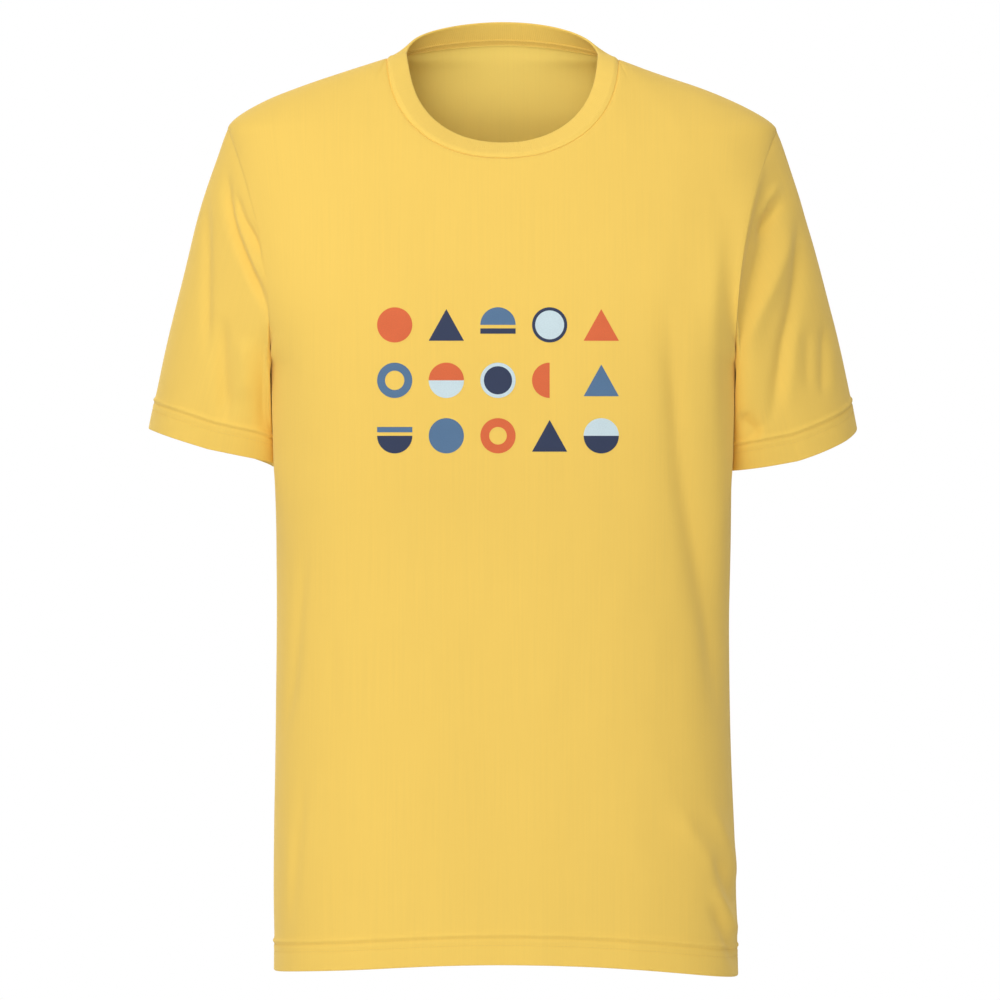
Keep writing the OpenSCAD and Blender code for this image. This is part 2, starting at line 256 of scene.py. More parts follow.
# How the shirt hangs a little off true: place as seen from the front (x, z), radius and shift (x, z), in mm
NUDGES = [
    (130, -14, 42, 0, -2.6),
    (195, -42, 35, 0, -1.8),
    (-195, -42, 45, -1.6, 0.8),
    (-68, 24, 26, -7.0, 0),
    (72, 18, 24, 3.2, 0),
    (189, -650, 70, 2.2, 0),
    (-236, -120, 45, -2.4, 0),
    (189, -735, 60, 2.6, -1.5),
    (-187, -735, 50, 2.0, 3.0),
]

# Curves of the cut


def step(low, high, value):
    """Smooth step from 0 at low to 1 at high."""
    t = np.clip((value - low) / (high - low), 0, 1)
    return t * t * (3 - 2 * t)


def window(rise, fall, value):
    """1 inside a window and 0 outside it, with smooth sides."""
    return step(*rise, value) * step(*fall, value)


def bell(distance, width):
    """A rounded hump, 1 in the middle."""
    return np.exp(-((distance / width) ** 2))


def smooth(knots, drop):
    """A smooth curve through knots of (drop, value), level beyond its ends."""
    at, value = np.array(knots).T
    slope = np.gradient(value, at)
    slope[1:-1] = (value[2:] - value[:-2]) / (at[2:] - at[:-2])
    i = np.clip(np.searchsorted(at, drop, side="right") - 1, 0, len(at) - 2)
    span = at[i + 1] - at[i]
    s = np.clip((drop - at[i]) / span, 0, 1)
    rise = s * s * (3 - 2 * s)
    bends = slope[i] * s * (1 - s) ** 2 - slope[i + 1] * s * s * (1 - s)
    return value[i] * (1 - rise) + value[i + 1] * rise + bends * span


def reach(drop, front):
    """How far the body reaches to the front or the back of the shoulder seam."""
    if front:
        knots = [
            (0, NECK_SIDE_FRONT), (NECK_DROP, NECK_FRONT), (CHEST_DROP, CHEST_FRONT),
            (WAIST_DROP, WAIST_FRONT), (BODY_LENGTH, HEM_FRONT),
        ]
    else:
        knots = [
            (0, NECK_BACK), (NAPE_DROP, NAPE_BACK), (CHEST_DROP, BLADE_BACK),
            (WAIST_DROP, WAIST_BACK), (BODY_LENGTH, HEM_BACK),
        ]
    return smooth(knots, drop)


def side_half(drop):
    """Half the width of the body below the arms."""
    return smooth([(ARMPIT_DROP, ARMPIT_HALF), (WAIST_DROP, WAIST_HALF), (BODY_LENGTH, HEM_HALF)], drop)


def shoulder_line(x):
    """Drop of the shoulder seam at a distance from the centre."""
    run = np.clip((x - NECK_HALF) / (SHOULDER_HALF - NECK_HALF), 0, 1)
    return SHOULDER_DROP * (1 - (1 - run) ** (1 / SHOULDER_POWER))


def torso_half(drop, inset):
    """Half the width of the torso's section: sharp at the armpit, and eased with the inset from the edge."""
    up = (ARMPIT_DROP - drop) / ARMHOLE_DEPTH
    soft = np.clip((up + np.sqrt(up * up + (inset / ARMHOLE_DEPTH) ** 2)) / 2, 0, 1)
    widening = 1 - (1 - soft) ** ARMHOLE_DEPTH_POWER
    below = side_half(drop) + (SHOULDER_HALF - ARMPIT_HALF) * widening
    fall = np.clip(drop / SHOULDER_DROP, 0, 1)
    shoulder = NECK_HALF + (SHOULDER_HALF - NECK_HALF) * (1 - (1 - fall) ** SHOULDER_POWER)
    neck = NECK_HALF + drop * NECK_TAPER
    return np.where(drop < 0, neck, np.where(drop < SHOULDER_DROP, shoulder, below))


def section_power(drop):
    """How boxy the body's section is: 2 is an ellipse."""
    return smooth(
        [(0, NECK_SECTION_POWER), (CHEST_DROP, CHEST_SECTION_POWER), (WAIST_DROP, BODY_SECTION_POWER)], drop
    )


def body_point(x, drop, inset, front):
    """A point of the body at a distance from the centre and a drop."""
    power = section_power(drop)
    share = np.minimum(1, np.abs(x) / torso_half(drop, inset)) ** power
    depth = reach(drop, front) * np.maximum(0, 1 - share) ** (1 / power)
    return np.stack([x, -depth if front else depth, -drop], axis=-1)


def armhole_edge(up):
    """Half the width of a panel between armpit (0) and shoulder point (1)."""
    return ARMPIT_HALF + (SHOULDER_HALF - ARMPIT_HALF) * up**ARMHOLE_EDGE_POWER


def neckline(x, front):
    """Drop of the neck seam at a distance from the centre."""
    share = np.minimum(1, np.abs(x) / NECK_HALF)
    if front:
        return NECK_DROP * (1 - share**NECKLINE_POWER) ** (1 / NECKLINE_POWER)
    return -NECK_RISE * (1 - share * share)


def neck_point(turn):
    """The neck seam's loop: 0 at the wearer's left, a quarter turn at the back, three quarters in front."""
    x = NECK_HALF * np.cos(turn)
    behind = body_point(x, neckline(x, False), 0, False)
    before = body_point(x, neckline(x, True), 0, True)
    return np.where((np.sin(turn) < 0)[..., None], before, behind)


def cuff_point(turn, side):
    """The cuff's loop on one side: 0 outside, a quarter turn at the front, half a turn at the body."""
    reach_x = ARMPIT_HALF + CUFF_GAP + CUFF_WIDTH * np.cos(CUFF_TILT)
    fall = np.sqrt(SLEEVE_LENGTH**2 - (reach_x - SHOULDER_HALF) ** 2)
    inwards = (np.cos(turn) - 1) * CUFF_WIDTH / 2
    corner = np.maximum(0, np.sin(turn)) * np.maximum(0, -np.cos(turn))
    x = reach_x + inwards * np.cos(CUFF_TILT) - corner * CUFF_TUCK
    y = CUFF_SET_BACK - np.sin(turn) * CUFF_DEPTH / 2 - corner * CUFF_CORNER
    z = -SHOULDER_DROP - fall + inwards * np.sin(CUFF_TILT) - np.sin(turn) * CUFF_DIP[side]
    return np.stack([side * x, y, z], axis=-1)


# Grids of points


def unit(vectors):
    """Vectors cut to a length of 1."""
    return vectors / np.maximum(np.linalg.norm(vectors, axis=-1, keepdims=True), 1e-12)


def run_length(points):
    """Distance along points, from the first, along the first axis."""
    steps = np.linalg.norm(np.diff(points, axis=0), axis=-1)
    return np.concatenate([np.zeros_like(steps[:1]), np.cumsum(steps, axis=0)])


def sampled(places, run, points):
    """Points, or normals, at places along a run."""
    return np.stack([np.interp(places, run, c) for c in points.T], axis=-1)


def stations(length, start, count, end):
    """Distances along a length: given ones at its start and its end, evenly spaced ones between."""
    first = start[-1]
    last = length - end[-1]
    between = first + (last - first) * np.arange(1, count) / count
    return np.concatenate([start, between, length - end[::-1]])


def grid_normals(points, closed=False):
    """Outward normals of a grid whose columns and rows turn outwards by the right-hand rule."""
    padded = np.concatenate([points[:, -1:], points, points[:, :1]], axis=1) if closed else points
    across = np.gradient(padded, axis=1)
    if closed:
        across = across[:, 1:-1]
    return unit(np.cross(across, np.gradient(points, axis=0)))


def column_shares(front):
    """Places of the columns as shares of a panel's half width, below the armpit and at the top."""
    angle = np.linspace(-np.pi / 2, np.pi / 2, 4 * SAMPLES)
    wide = np.sign(angle) * np.abs(np.sin(angle)) ** (2 / BODY_SECTION_POWER)
    waist_x = wide * WAIST_HALF
    waist = body_point(waist_x, np.full_like(wide, WAIST_DROP), WAIST_HALF - np.abs(waist_x), front)
    waist_run = run_length(waist)
    low = np.interp(
        stations(waist_run[-1], EDGE_STEPS, 2 * SHOULDER_COLUMNS + NECK_COLUMNS, EDGE_STEPS), waist_run, wide
    )
    seam_x = SHOULDER_HALF + (NECK_HALF - SHOULDER_HALF) * np.linspace(0, 1, SAMPLES) ** 2
    seam_run = run_length(np.stack([seam_x, shoulder_line(seam_x)], axis=-1))
    shoulder = np.interp(
        stations(seam_run[-1], EDGE_STEPS, SHOULDER_COLUMNS, EDGE_STEPS[:1]), seam_run, seam_x
    )
    neck_x = NECK_HALF * np.sin(angle)
    neck_run = run_length(body_point(neck_x, neckline(neck_x, front), 0, front))
    neck = np.interp(np.linspace(0, neck_run[-1], NECK_COLUMNS + 1)[1:-1], neck_run, neck_x)
    return low, np.concatenate([-shoulder, neck, shoulder[::-1]]) / SHOULDER_HALF


def panel_place(low, top, high, front):
    """Distance from the centre, drop and inset on a panel's column: hem is 0, armpit 1, top 2."""
    rise = HEM_RISE * (1 - low * low) if front else 0 * low
    top_x = np.abs(top) * SHOULDER_HALF
    top_drop = np.where(top_x < NECK_HALF, neckline(top_x, front), shoulder_line(top_x))
    up = np.clip(high - 1, 0, 1)
    below = BODY_LENGTH - rise - np.minimum(high, 1) * (BODY_LENGTH - rise - ARMPIT_DROP)
    drop = np.where(high < 1, below, ARMPIT_DROP + up * (top_drop - ARMPIT_DROP))
    power = 1 + (COLUMN_POWER - 1) * step(*COLUMN_POWER_SHARES, np.abs(low))
    wide = low + (top - low) * up**power
    half = np.where(high < 1, side_half(drop), armhole_edge(up))
    return wide * half, drop, (1 - np.abs(wide)) * half


class Grid:
    """A sheet's outer face as rows of points, with what its relief depends on."""

    def __init__(self, points, closed=False):
        self.points = points
        self.closed = closed
        self.normals = grid_normals(points, closed)

    def lift(self, height):
        """Raises the cloth along its normals."""
        self.points = self.points + self.normals * height[..., None]

    def settle(self):
        """Finds the normals again after the relief."""
        self.normals = grid_normals(self.points, self.closed)


def panel_grid(front):
    """The front panel, or the back panel with its columns from the wearer's left."""
    low, top = column_shares(front)
    flip = 1 if front else -1
    low, top = flip * low, flip * top
    ease = np.linspace(0, 1, SAMPLES)
    ease = ease**2 / (ease**2 + (1 - ease) ** 2)
    rows = []
    parts = ((0, HEM_STEPS, BODY_ROWS, EDGE_STEPS[:1]), (1, EDGE_STEPS[:1], ARMHOLE_ROWS, EDGE_STEPS))
    for first, start, count, end in parts:
        high = first + (ease if first else np.linspace(0, 1, SAMPLES))
        run = run_length(body_point(*panel_place(low[None, :], top[None, :], high[:, None], front), front))
        places = [np.interp(stations(r[-1], start, count, end), r, high) for r in run.T]
        rows.append(np.array(places).T)
    high = np.concatenate([rows[0], rows[1][1:]])
    x, drop, inset = panel_place(low[None, :], top[None, :], high, front)
    grid = Grid(body_point(x, drop, inset, front))
    grid.armpit_row = len(rows[0]) - 1
    grid.from_hem = run_length(grid.points)
    lean = np.cross(unit(grid.points[-1] - grid.points[-3]), unit(np.gradient(grid.points[-1], axis=0)))
    grid.from_top = (grid.from_hem[-1] - grid.from_hem) * np.linalg.norm(lean, axis=-1)
    across = run_length(np.swapaxes(grid.points, 0, 1)).T
    grid.from_edge = np.minimum(across, across[:, -1:] - across)
    waist = grid.armpit_row // 2
    half = np.abs(x[:, -1:])
    level = (across[waist] - across[waist, -1] / 2) / half[waist]
    grid.across = half * np.interp(x / half, low[::flip], level[::flip])
    turn = np.arccos(np.clip(x[-1] / NECK_HALF, -1, 1))
    grid.neck_turn = 2 * np.pi - turn if front else turn
    grid.edge_up = high[grid.armpit_row:, 0] - 1
    return grid


# Relief of the cloth


def spline(path):
    """A smooth line through places, in metres."""
    knots = np.array([path[0], *path, path[-1]], dtype=float) * MM
    t = np.linspace(0, 1, 9)[:, None]
    spans = []
    for a, b, c, d in zip(knots, knots[1:], knots[2:], knots[3:]):
        curve = 2 * b + (c - a) * t + (2 * a - 5 * b + 4 * c - d) * t**2 + (3 * b - a - 3 * c + d) * t**3
        spans.append(curve[:-1] / 2)
    return np.concatenate([*spans, knots[-1:]])


def fold_relief(points, folds):
    """Height of folds that are placed as seen from the front."""
    x, z = points[..., 0], points[..., 2]
    total = np.zeros(x.shape)
    for height, width, path in folds:
        line = spline(path)
        marks = run_length(line)
        nearest = np.full(x.shape, np.inf)
        share = np.zeros(x.shape)
        for start, move, mark in zip(line, np.diff(line, axis=0), marks):
            size = np.hypot(*move)
            t = np.clip(((x - start[0]) * move[0] + (z - start[1]) * move[1]) / size**2, 0, 1)
            away = np.hypot(x - start[0] - t * move[0], z - start[1] - t * move[1])
            share = np.where(away < nearest, (mark + t * size) / marks[-1], share)
            nearest = np.minimum(nearest, away)
        total += height * MM * window(*FOLD_TAPER, share) * np.exp(-((nearest / (width * MM)) ** FOLD_POWER))
    return total


def drape(points, height, phase):
    """Slow upright waves that grow towards the hem; their numbers are radians per metre."""
    x, z = points[..., 0], points[..., 2]
    waves = np.sin(x * 52 + phase) + 0.6 * np.sin(x * 91 + 2.1 * phase + z * 3) + 0.4 * np.sin(x * 33 - z * 7)
    return height * waves * step(DRAPE_START, -BODY_LENGTH, z)


def ripple(points, height):
    """Small uneven waves, as in a washed knit; their numbers are radians per metre."""
    x, y, z = np.moveaxis(points, -1, 0)
    a = np.sin(x * 150 + 3 * np.sin(z * 21) + y * 60)
    b = np.sin(z * 64 + 4 * np.sin(x * 37 + 1.3) + y * 45)
    return height * (a + 0.7 * b + 0.5 * a * b)


def hem_relief(distance, along):
    """A turned-up hem: doubled cloth, a ridge over its edge, two stitched furrows and small puckers."""
    doubled = HEM_DOUBLING * step(HEM_DEPTH + HEM_SOFTNESS, HEM_DEPTH - HEM_SOFTNESS, distance)
    ridge = HEM_RIDGE * bell(distance - HEM_DEPTH - HEM_RIDGE_RISE, HEM_RIDGE_WIDTH)
    furrows = sum(depth * bell(distance - row, FURROW_WIDTH) for row, depth in zip(STITCH_ROWS, FURROWS))
    waves = np.sin(along * 800 + 2 * np.sin(along * 95))
    pucker = PUCKER * waves * bell(distance - STITCH_ROWS[0], PUCKER_WIDTH)
    return doubled + ridge - furrows + pucker


def seam_relief(distance):
    """The shallow furrow along a seam."""
    return -SEAM_DIP * bell(distance, SEAM_SOFTNESS)


def fill_out(grid):
    """Puffs the front out beside the left armhole, and squares its corners below the armpits."""
    x, z = grid.points[..., 0], grid.points[..., 2]
    puff = ARMHOLE_PUFF * step(ARMHOLE_PUFF_WIDTH, 0, grid.from_edge) * (x > 0)
    grid.points[..., 1] -= puff * window(*ARMHOLE_PUFF_HEIGHTS, z)
    room = np.maximum(0, side_half(-z) + EDGE_FILL_PAST_SIDE - np.abs(x))
    fill = np.minimum(EDGE_FILL * window(*EDGE_FILL_INSETS, grid.from_edge), room)
    grid.points[..., 0] += np.sign(x) * fill * window(*EDGE_FILL_HEIGHTS, z)


def dressed_panel(front):
    """A panel with its folds, hem and seams."""
    grid = panel_grid(front)
    relief = fold_relief(grid.points, FRONT_FOLDS if front else BACK_FOLDS)
    relief += drape(grid.points, **(FRONT_DRAPE if front else BACK_DRAPE))
    relief += ripple(grid.points, PANEL_RIPPLE)
    relief *= step(0, FOLDS_FROM_EDGE, grid.from_edge) * step(0, FOLDS_FROM_TOP, grid.from_top)
    relief += hem_relief(grid.from_hem, grid.across) * step(0, HEM_FADE, grid.from_edge)
    relief += seam_relief(np.minimum(grid.from_edge, grid.from_top))
    at_neck = np.abs(grid.points[-1, :, 0]) < NECK_HALF + CLOTH
    relief -= NECK_DITCH * bell(grid.from_top, NECK_DITCH_WIDTH) * at_neck
    grid.lift(relief)
    if front:
        fill_out(grid)
    return grid


def join_panels(front, back):
    """Closes the side and shoulder seams, and gives both panels the same armhole corners."""
    sides = [(row, 0) for row in range(front.armpit_row + 1)]
    shoulders = [(-1, j) for j in range(len(EDGE_STEPS) + SHOULDER_COLUMNS)]
    for row, j in sides + shoulders:
        for here, there in ((j, -1 - j), (-1 - j, j)):
            middle = (front.points[row, here] + back.points[row, there]) / 2
            front.points[row, here] = middle
            back.points[row, there] = middle
    front.settle()
    back.settle()


def keep_beside_body(points, side):
    """Keeps a sleeve clear of the side of the body, below the armpit."""
    drop = -points[..., 2]
    wall = side_half(drop) + CUFF_GAP * step(ARMPIT_DROP, ARMPIT_DROP + CUFF_GAP_RISE, drop)
    x = side * points[..., 0]
    points[..., 0] = side * np.where(drop > ARMPIT_DROP, np.maximum(x, wall), x)


def dressed_sleeve(side, front, back):
    """A sleeve from the panels' armhole edges to its cuff: left is 1 and right is -1."""
    column = -1 if side > 0 else 0
    first = front.points[front.armpit_row:, column][::-1]
    second = back.points[back.armpit_row:, -1 - column][1:-1]
    edge = np.concatenate([first, second])
    turn_front = np.arccos(2 * front.edge_up - 1)[::-1]
    turn_back = 2 * np.pi - np.arccos(2 * back.edge_up - 1)[1:-1]
    turn = np.concatenate([turn_front, turn_back])
    up = (1 + np.cos(turn)) / 2
    seam = np.where(
        (np.sin(turn) > 0)[:, None],
        body_point(armhole_edge(up), ARMPIT_DROP - up * ARMHOLE_DEPTH, 0, True),
        body_point(armhole_edge(up), ARMPIT_DROP - up * ARMHOLE_DEPTH, 0, False),
    )
    seam[:, 0] *= side
    cuff = cuff_point(turn, side)
    length = np.linalg.norm(cuff - seam, axis=-1)
    run = np.array([stations(size, EDGE_STEPS, SLEEVE_ROWS, HEM_STEPS) for size in length]).T
    s = (run / length)[..., None]
    outer = np.maximum(0, np.cos(turn))
    out = np.stack([side * outer * np.cos(CUFF_TILT), -np.sin(turn), outer * np.sin(CUFF_TILT)], axis=-1)
    points = seam * (1 - s) + cuff * s + out * SLEEVE_SWELL * 4 * s * (1 - s)
    keep_beside_body(points, side)
    if side < 0:
        points, edge, seam, run = points[:, ::-1], edge[::-1], seam[::-1], run[:, ::-1]
    grid = Grid(points, closed=True)
    grid.from_top = run
    grid.from_hem = run[-1] - run
    edge_run = run_length(np.concatenate([edge, edge[:1]]))
    grid.across = edge_run[None, :-1] + 0 * run
    grid.length_round = edge_run[-1]
    facing = grid.normals[..., 1]
    front_folds, back_folds = SLEEVE_FOLDS[side]
    relief = fold_relief(points, front_folds) * step(0.1, -0.4, facing)
    relief += fold_relief(points, back_folds) * step(-0.1, 0.4, facing)
    relief += ripple(points, SLEEVE_RIPPLE)
    relief *= step(0, EDGE_SOFTNESS, run)
    relief += hem_relief(grid.from_hem, grid.across)
    grid.lift(relief)
    grid.points += (edge - seam)[None] * bell(run, EDGE_SOFTNESS)[..., None]
    grid.settle()
    return grid


def turned_hem(points, normals, rows_up, down):
    """Rows for the inside of a hem, from its raw edge, and round the bend to the outside.

    points and normals start at the hem's edge, and down points away from the cloth there.
    """
    inside = points[rows_up::-3] - normals[rows_up::-3] * FOLD_GAP
    angle = np.linspace(np.pi, 0, BEND_STEPS + 2)[1:-1, None, None]
    centre = points[0] - normals[0] * FOLD_GAP / 2
    bend = centre + (normals[0] * np.cos(angle) + down * np.sin(angle)) * FOLD_GAP / 2
    return np.concatenate([inside, bend])


# Meshes


def nudged(points):
    """Points of the shirt as it hangs."""
    points = np.array(points, dtype=float).reshape(-1, 3)
    shift = np.zeros_like(points)
    for x, z, radius, across, up in NUDGES:
        away = np.hypot(points[:, 0] - x * MM, points[:, 2] - z * MM)
        shift += bell(away, radius * MM)[:, None] * np.array([across, 0, up]) * MM
    return points + shift


def make_object(name, vertices, faces, material, uv=None):
    """A smooth mesh that rides with the shirt; uv holds one place per face corner."""
    mesh = bpy.data.meshes.new(name)
    mesh.from_pydata(nudged(vertices).tolist(), [], [list(face) for face in faces])
    mesh.polygons.foreach_set("use_smooth", np.ones(len(mesh.polygons), dtype=bool))
    if uv is not None:
        layer = mesh.uv_layers.new(name="pattern")
        layer.data.foreach_set("uv", np.asarray(uv, dtype=np.float32).ravel())
    for one in material if isinstance(material, tuple) else (material,):
        mesh.materials.append(one)
    mesh.update()
    thing = bpy.data.objects.new(name, mesh)
    bpy.context.collection.objects.link(thing)
    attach(thing, "root")
    return thing


def grid_faces(rows, columns, closed):
    """Corner indices of a grid's faces, with their rows and columns."""
    last = columns if closed else columns - 1
    i, j = (a.ravel() for a in np.meshgrid(np.arange(rows - 1), np.arange(last), indexing="ij"))
    corner_rows = np.stack([i, i, i + 1, i + 1], axis=1)
    corner_columns = np.stack([j, j + 1, j + 1, j], axis=1)
    return corner_rows * columns + corner_columns % columns, corner_rows, corner_columns


def sheet_object(name, points, material, across, along, closed=False, round_length=0.0, thickness=CLOTH):
    """A sheet of cloth over a grid; its pattern places are distances across and along it."""
    rows, columns = points.shape[:2]
    faces, corner_rows, corner_columns = grid_faces(rows, columns, closed)
    wrapped = corner_columns >= columns
    u = across[corner_rows, corner_columns % columns] + np.where(wrapped, round_length, 0)
    v = along[corner_rows, corner_columns % columns]
    thing = make_object(name, points, faces, material, np.stack([u, v], axis=-1))
    if thickness:
        solid = thing.modifiers.new("cloth", "SOLIDIFY")
        solid.thickness = thickness
        solid.offset = -1
        solid.material_offset = len(thing.data.materials) - 1
    return thing


def strip_object(name, grid, rows, columns, depth, material, closed=False):
    """A narrow strip of cloth that lies inside a sheet, over part of its grid."""
    points = (grid.points - grid.normals * depth)[rows][:, columns]
    across = grid.across[rows][:, columns]
    along = grid.from_hem[rows][:, columns]
    round_length = grid.length_round if closed else 0.0
    return sheet_object(name, points, material, across, along, closed, round_length)


def stitch_rows(name, lines, material):
    """Short raised threads along lines of (points, normals), as one mesh."""
    ring = np.arange(STITCH_SIDES) * 2 * np.pi / STITCH_SIDES
    ends = np.array([-0.5, -0.32, 0.32, 0.5]) * STITCH_LENGTH
    sizes = np.array([0.35, 1, 1, 0.35]) * STITCH_RADIUS
    template = np.array([(e, s * np.cos(a), s * np.sin(a)) for e, s in zip(ends, sizes) for a in ring])
    size = len(template)
    quads, _, _ = grid_faces(len(ends), STITCH_SIDES, True)
    caps = [list(range(STITCH_SIDES))[::-1], list(range(size - STITCH_SIDES, size))]
    vertices = []
    faces = []
    for points, normals in lines:
        run = run_length(points)
        places = np.arange(STITCH_STEP / 2, run[-1], STITCH_STEP)
        at = sampled(places, run, points)
        ahead = sampled(places + STITCH_AHEAD, run, points)
        up = unit(sampled(places, run, normals))
        way = unit(ahead - at + 1e-9)
        aside = np.cross(up, way)
        for centre, t, b, n in zip(at, way, aside, up):
            start = size * len(vertices)
            vertices.append(centre + template @ np.array([t, b, n]))
            faces += (quads + start).tolist() + [[start + k for k in cap] for cap in caps]
    return make_object(name, np.concatenate(vertices), faces, material)


def hem_lines(grid):
    """Two rows of stitches round a hem."""
    lines = []
    for row in STITCH_ROWS:
        i = int(np.argmin(np.abs(grid.from_hem[:, grid.points.shape[1] // 2] - row)))
        points, normals = grid.points[i], grid.normals[i]
        if grid.closed:
            points = np.concatenate([points, points[:1]])
            normals = np.concatenate([normals, normals[:1]])
        lines.append((points, normals))
    return lines


# Materials


class Shader:
    """Builds the nodes of a material or a world."""

    def __init__(self, owner):
        owner.use_nodes = True
        self.owner = owner
        self.tree = owner.node_tree
        self.surface = self.tree.nodes.get("Principled BSDF")

    def put(self, socket, value):
        """Links a socket to another node's, or sets its value."""
        if isinstance(value, bpy.types.NodeSocket):
            self.tree.links.new(value, socket)
        else:
            socket.default_value = value

    def node(self, kind, inputs=(), **settings):
        made = self.tree.nodes.new(kind)
        for key, value in settings.items():
            setattr(made, key, value)
        for key, value in dict(inputs).items():
            self.put(made.inputs[key], value)
        return made

    def math(self, operation, a, b=0.0):
        return self.node("ShaderNodeMath", {0: a, 1: b}, operation=operation).outputs[0]

    def noise(self, vector, scale, detail=2.0):
        inputs = {"Vector": vector, "Scale": scale, "Detail": detail}
        return self.node("ShaderNodeTexNoise", inputs).outputs[0]

    def span(self, value, low, high):
        """A 0 to 1 value spread between two others."""
        return self.node("ShaderNodeMapRange", {0: value, 3: low, 4: high}).outputs[0]

    def stretched(self, vector, x, y):
        return self.node("ShaderNodeMapping", {"Vector": vector, "Scale": (x, y, 1.0)}).outputs[0]

    def shade(self, colour, factor):
        """A colour made brighter or darker by a factor."""
        return self.node("ShaderNodeHueSaturation", {"Color": colour, "Value": factor}).outputs[0]

    def set(self, **inputs):
        for key, value in inputs.items():
            self.put(self.surface.inputs[key.replace("_", " ")], value)

    def bump(self, height, strength, distance):
        made = self.node("ShaderNodeBump", {"Height": height, "Strength": strength, "Distance": distance})
        self.set(Normal=made.outputs[0])


def rgb(red, green, blue):
    """A colour given as 0 to 255 screen values, as a shader takes it."""
    screen = np.array([red, green, blue]) / 255
    linear = np.where(screen <= 0.04045, screen / 12.92, ((screen + 0.055) / 1.055) ** 2.4)
    return (*linear.tolist(), 1.0)


def knit_height(shader, place):
    """Height of plain jersey: columns of loops, with arms that slant to a point."""
    parts = shader.node("ShaderNodeSeparateXYZ", {0: place})
    u, v = parts.outputs[0], parts.outputs[1]
    wale = shader.math("SINE", shader.math("MULTIPLY", u, 2 * np.pi / WALE))
    arm = shader.math("ABSOLUTE", shader.math("SINE", shader.math("MULTIPLY", u, np.pi / WALE)))
    slant = shader.node("ShaderNodeMath", {0: arm, 1: 0.5 * COURSE, 2: v}, operation="MULTIPLY_ADD")
    course = shader.math("SINE", shader.math("MULTIPLY", slant.outputs[0], 2 * np.pi / COURSE))
    return shader.math("ADD", shader.math("MULTIPLY", wale, 0.6), shader.math("MULTIPLY", course, 0.4))


def knit_material(name, colour, streaks=0.03):
    """Jersey knit: loops, faint upright streaks of uneven yarn, and a soft nap."""
    shader = Shader(bpy.data.materials.new(name))
    place = shader.node("ShaderNodeUVMap", uv_map="pattern").outputs[0]
    yarn = shader.noise(shader.stretched(place, 620.0, 11.0), 1.0, 3.0)
    cloud = shader.noise(shader.stretched(place, 9.0, 6.0), 1.0, 2.0)
    bright = shader.math("ADD", shader.span(yarn, 1 - streaks, 1 + streaks), shader.span(cloud, -0.02, 0.02))
    shader.set(
        Base_Color=shader.shade(colour, bright), Roughness=shader.span(yarn, 0.82, 0.95),
        Specular_IOR_Level=0.25, Sheen_Weight=0.5, Sheen_Roughness=0.45, Sheen_Tint=SHEEN_TINT,
    )
    shader.bump(knit_height(shader, place), 0.3, 0.12 * MM)
    return shader.owner


def ink_material(name, colour):
    """Printed ink that lets the knit show, a little uneven in a fine mottle."""
    shader = Shader(bpy.data.materials.new(name))
    place = shader.node("ShaderNodeUVMap", uv_map="pattern").outputs[0]
    grain = shader.noise(shader.stretched(place, 900.0, 900.0), 1.0, 3.0)
    cloud = shader.noise(shader.stretched(place, 60.0, 60.0), 1.0, 2.0)
    bright = shader.math("ADD", shader.span(grain, 0.9, 1.1), shader.span(cloud, -0.05, 0.05))
    shader.set(
        Base_Color=shader.shade(colour, bright), Roughness=shader.span(grain, 0.6, 0.8),
        Specular_IOR_Level=0.3,
    )
    shader.bump(knit_height(shader, place), 0.2, 0.08 * MM)
    return shader.owner


def thread_material(name, colour):
    """Twisted sewing thread."""
    shader = Shader(bpy.data.materials.new(name))
    place = shader.node("ShaderNodeTexCoord").outputs["Object"]
    twist = shader.noise(place, 2500.0, 2.0)
    shader.set(
        Base_Color=shader.shade(colour, shader.span(twist, 0.88, 1.08)),
        Roughness=shader.span(twist, 0.5, 0.7),
    )
    shader.bump(twist, 0.3, 0.1 * MM)
    return shader.owner


# The shirt

jersey = knit_material("jersey", rgb(248, 208, 100))
# The inner faces are a paler yellow than the jersey: painted light, brightening the inside of the neck beyond
# what the lamps give it
reverse_painted_lighter = knit_material("jersey_reverse_painted_lighter", rgb(255, 223, 115))
# The rib is a little paler than the jersey: painted light, making up for the shade that falls on the collar
rib = knit_material("rib", rgb(251, 212, 104))
tape = knit_material("tape", rgb(240, 201, 98), 0.05)
thread = thread_material("thread", rgb(244, 204, 98))

front = dressed_panel(True)
back = dressed_panel(False)
join_panels(front, back)
SIDES = {"left": 1, "right": -1}
sleeves = {word: dressed_sleeve(side, front, back) for word, side in SIDES.items()}
DOWN = np.array([0, 0, -1.0])
corner_column = len(EDGE_STEPS) + SHOULDER_COLUMNS - 1
NECK_RANGE = slice(corner_column, -corner_column)
hem_rows = int(np.searchsorted(HEM_STEPS, HEM_DEPTH))


def panel_object(name, grid):
    """A panel with its hem turned up inside."""
    inside = turned_hem(grid.points, grid.normals, hem_rows, DOWN)
    points = np.concatenate([inside, grid.points])
    extra = len(inside)
    along = np.concatenate([-run_length(inside)[::-1], grid.from_hem])
    across = np.concatenate([np.repeat(grid.across[:1], extra, axis=0), grid.across])
    return sheet_object(name, points, (jersey, reverse_painted_lighter), across, along)


def sleeve_object(name, grid):
    """A sleeve with its hem turned up inside."""
    points, normals = grid.points[::-1], grid.normals[::-1]
    down = unit(points[0] - points[1])
    inside = turned_hem(points, normals, hem_rows, down)
    rows = np.concatenate([grid.points, inside[::-1]])
    along = np.concatenate([grid.from_top, grid.from_top[-1:] + run_length(inside[::-1])])
    across = np.concatenate([grid.across, np.repeat(grid.across[:1], len(inside), axis=0)])
    return sheet_object(name, rows, (jersey, reverse_painted_lighter), across, along, True, grid.length_round)


front_panel = panel_object("front_panel_cloth", front)
back_panel = panel_object("back_panel_cloth", back)
sleeve_cloths = {word: sleeve_object(word + "_sleeve_cloth", sleeves[word]) for word in SIDES}

# Neckband

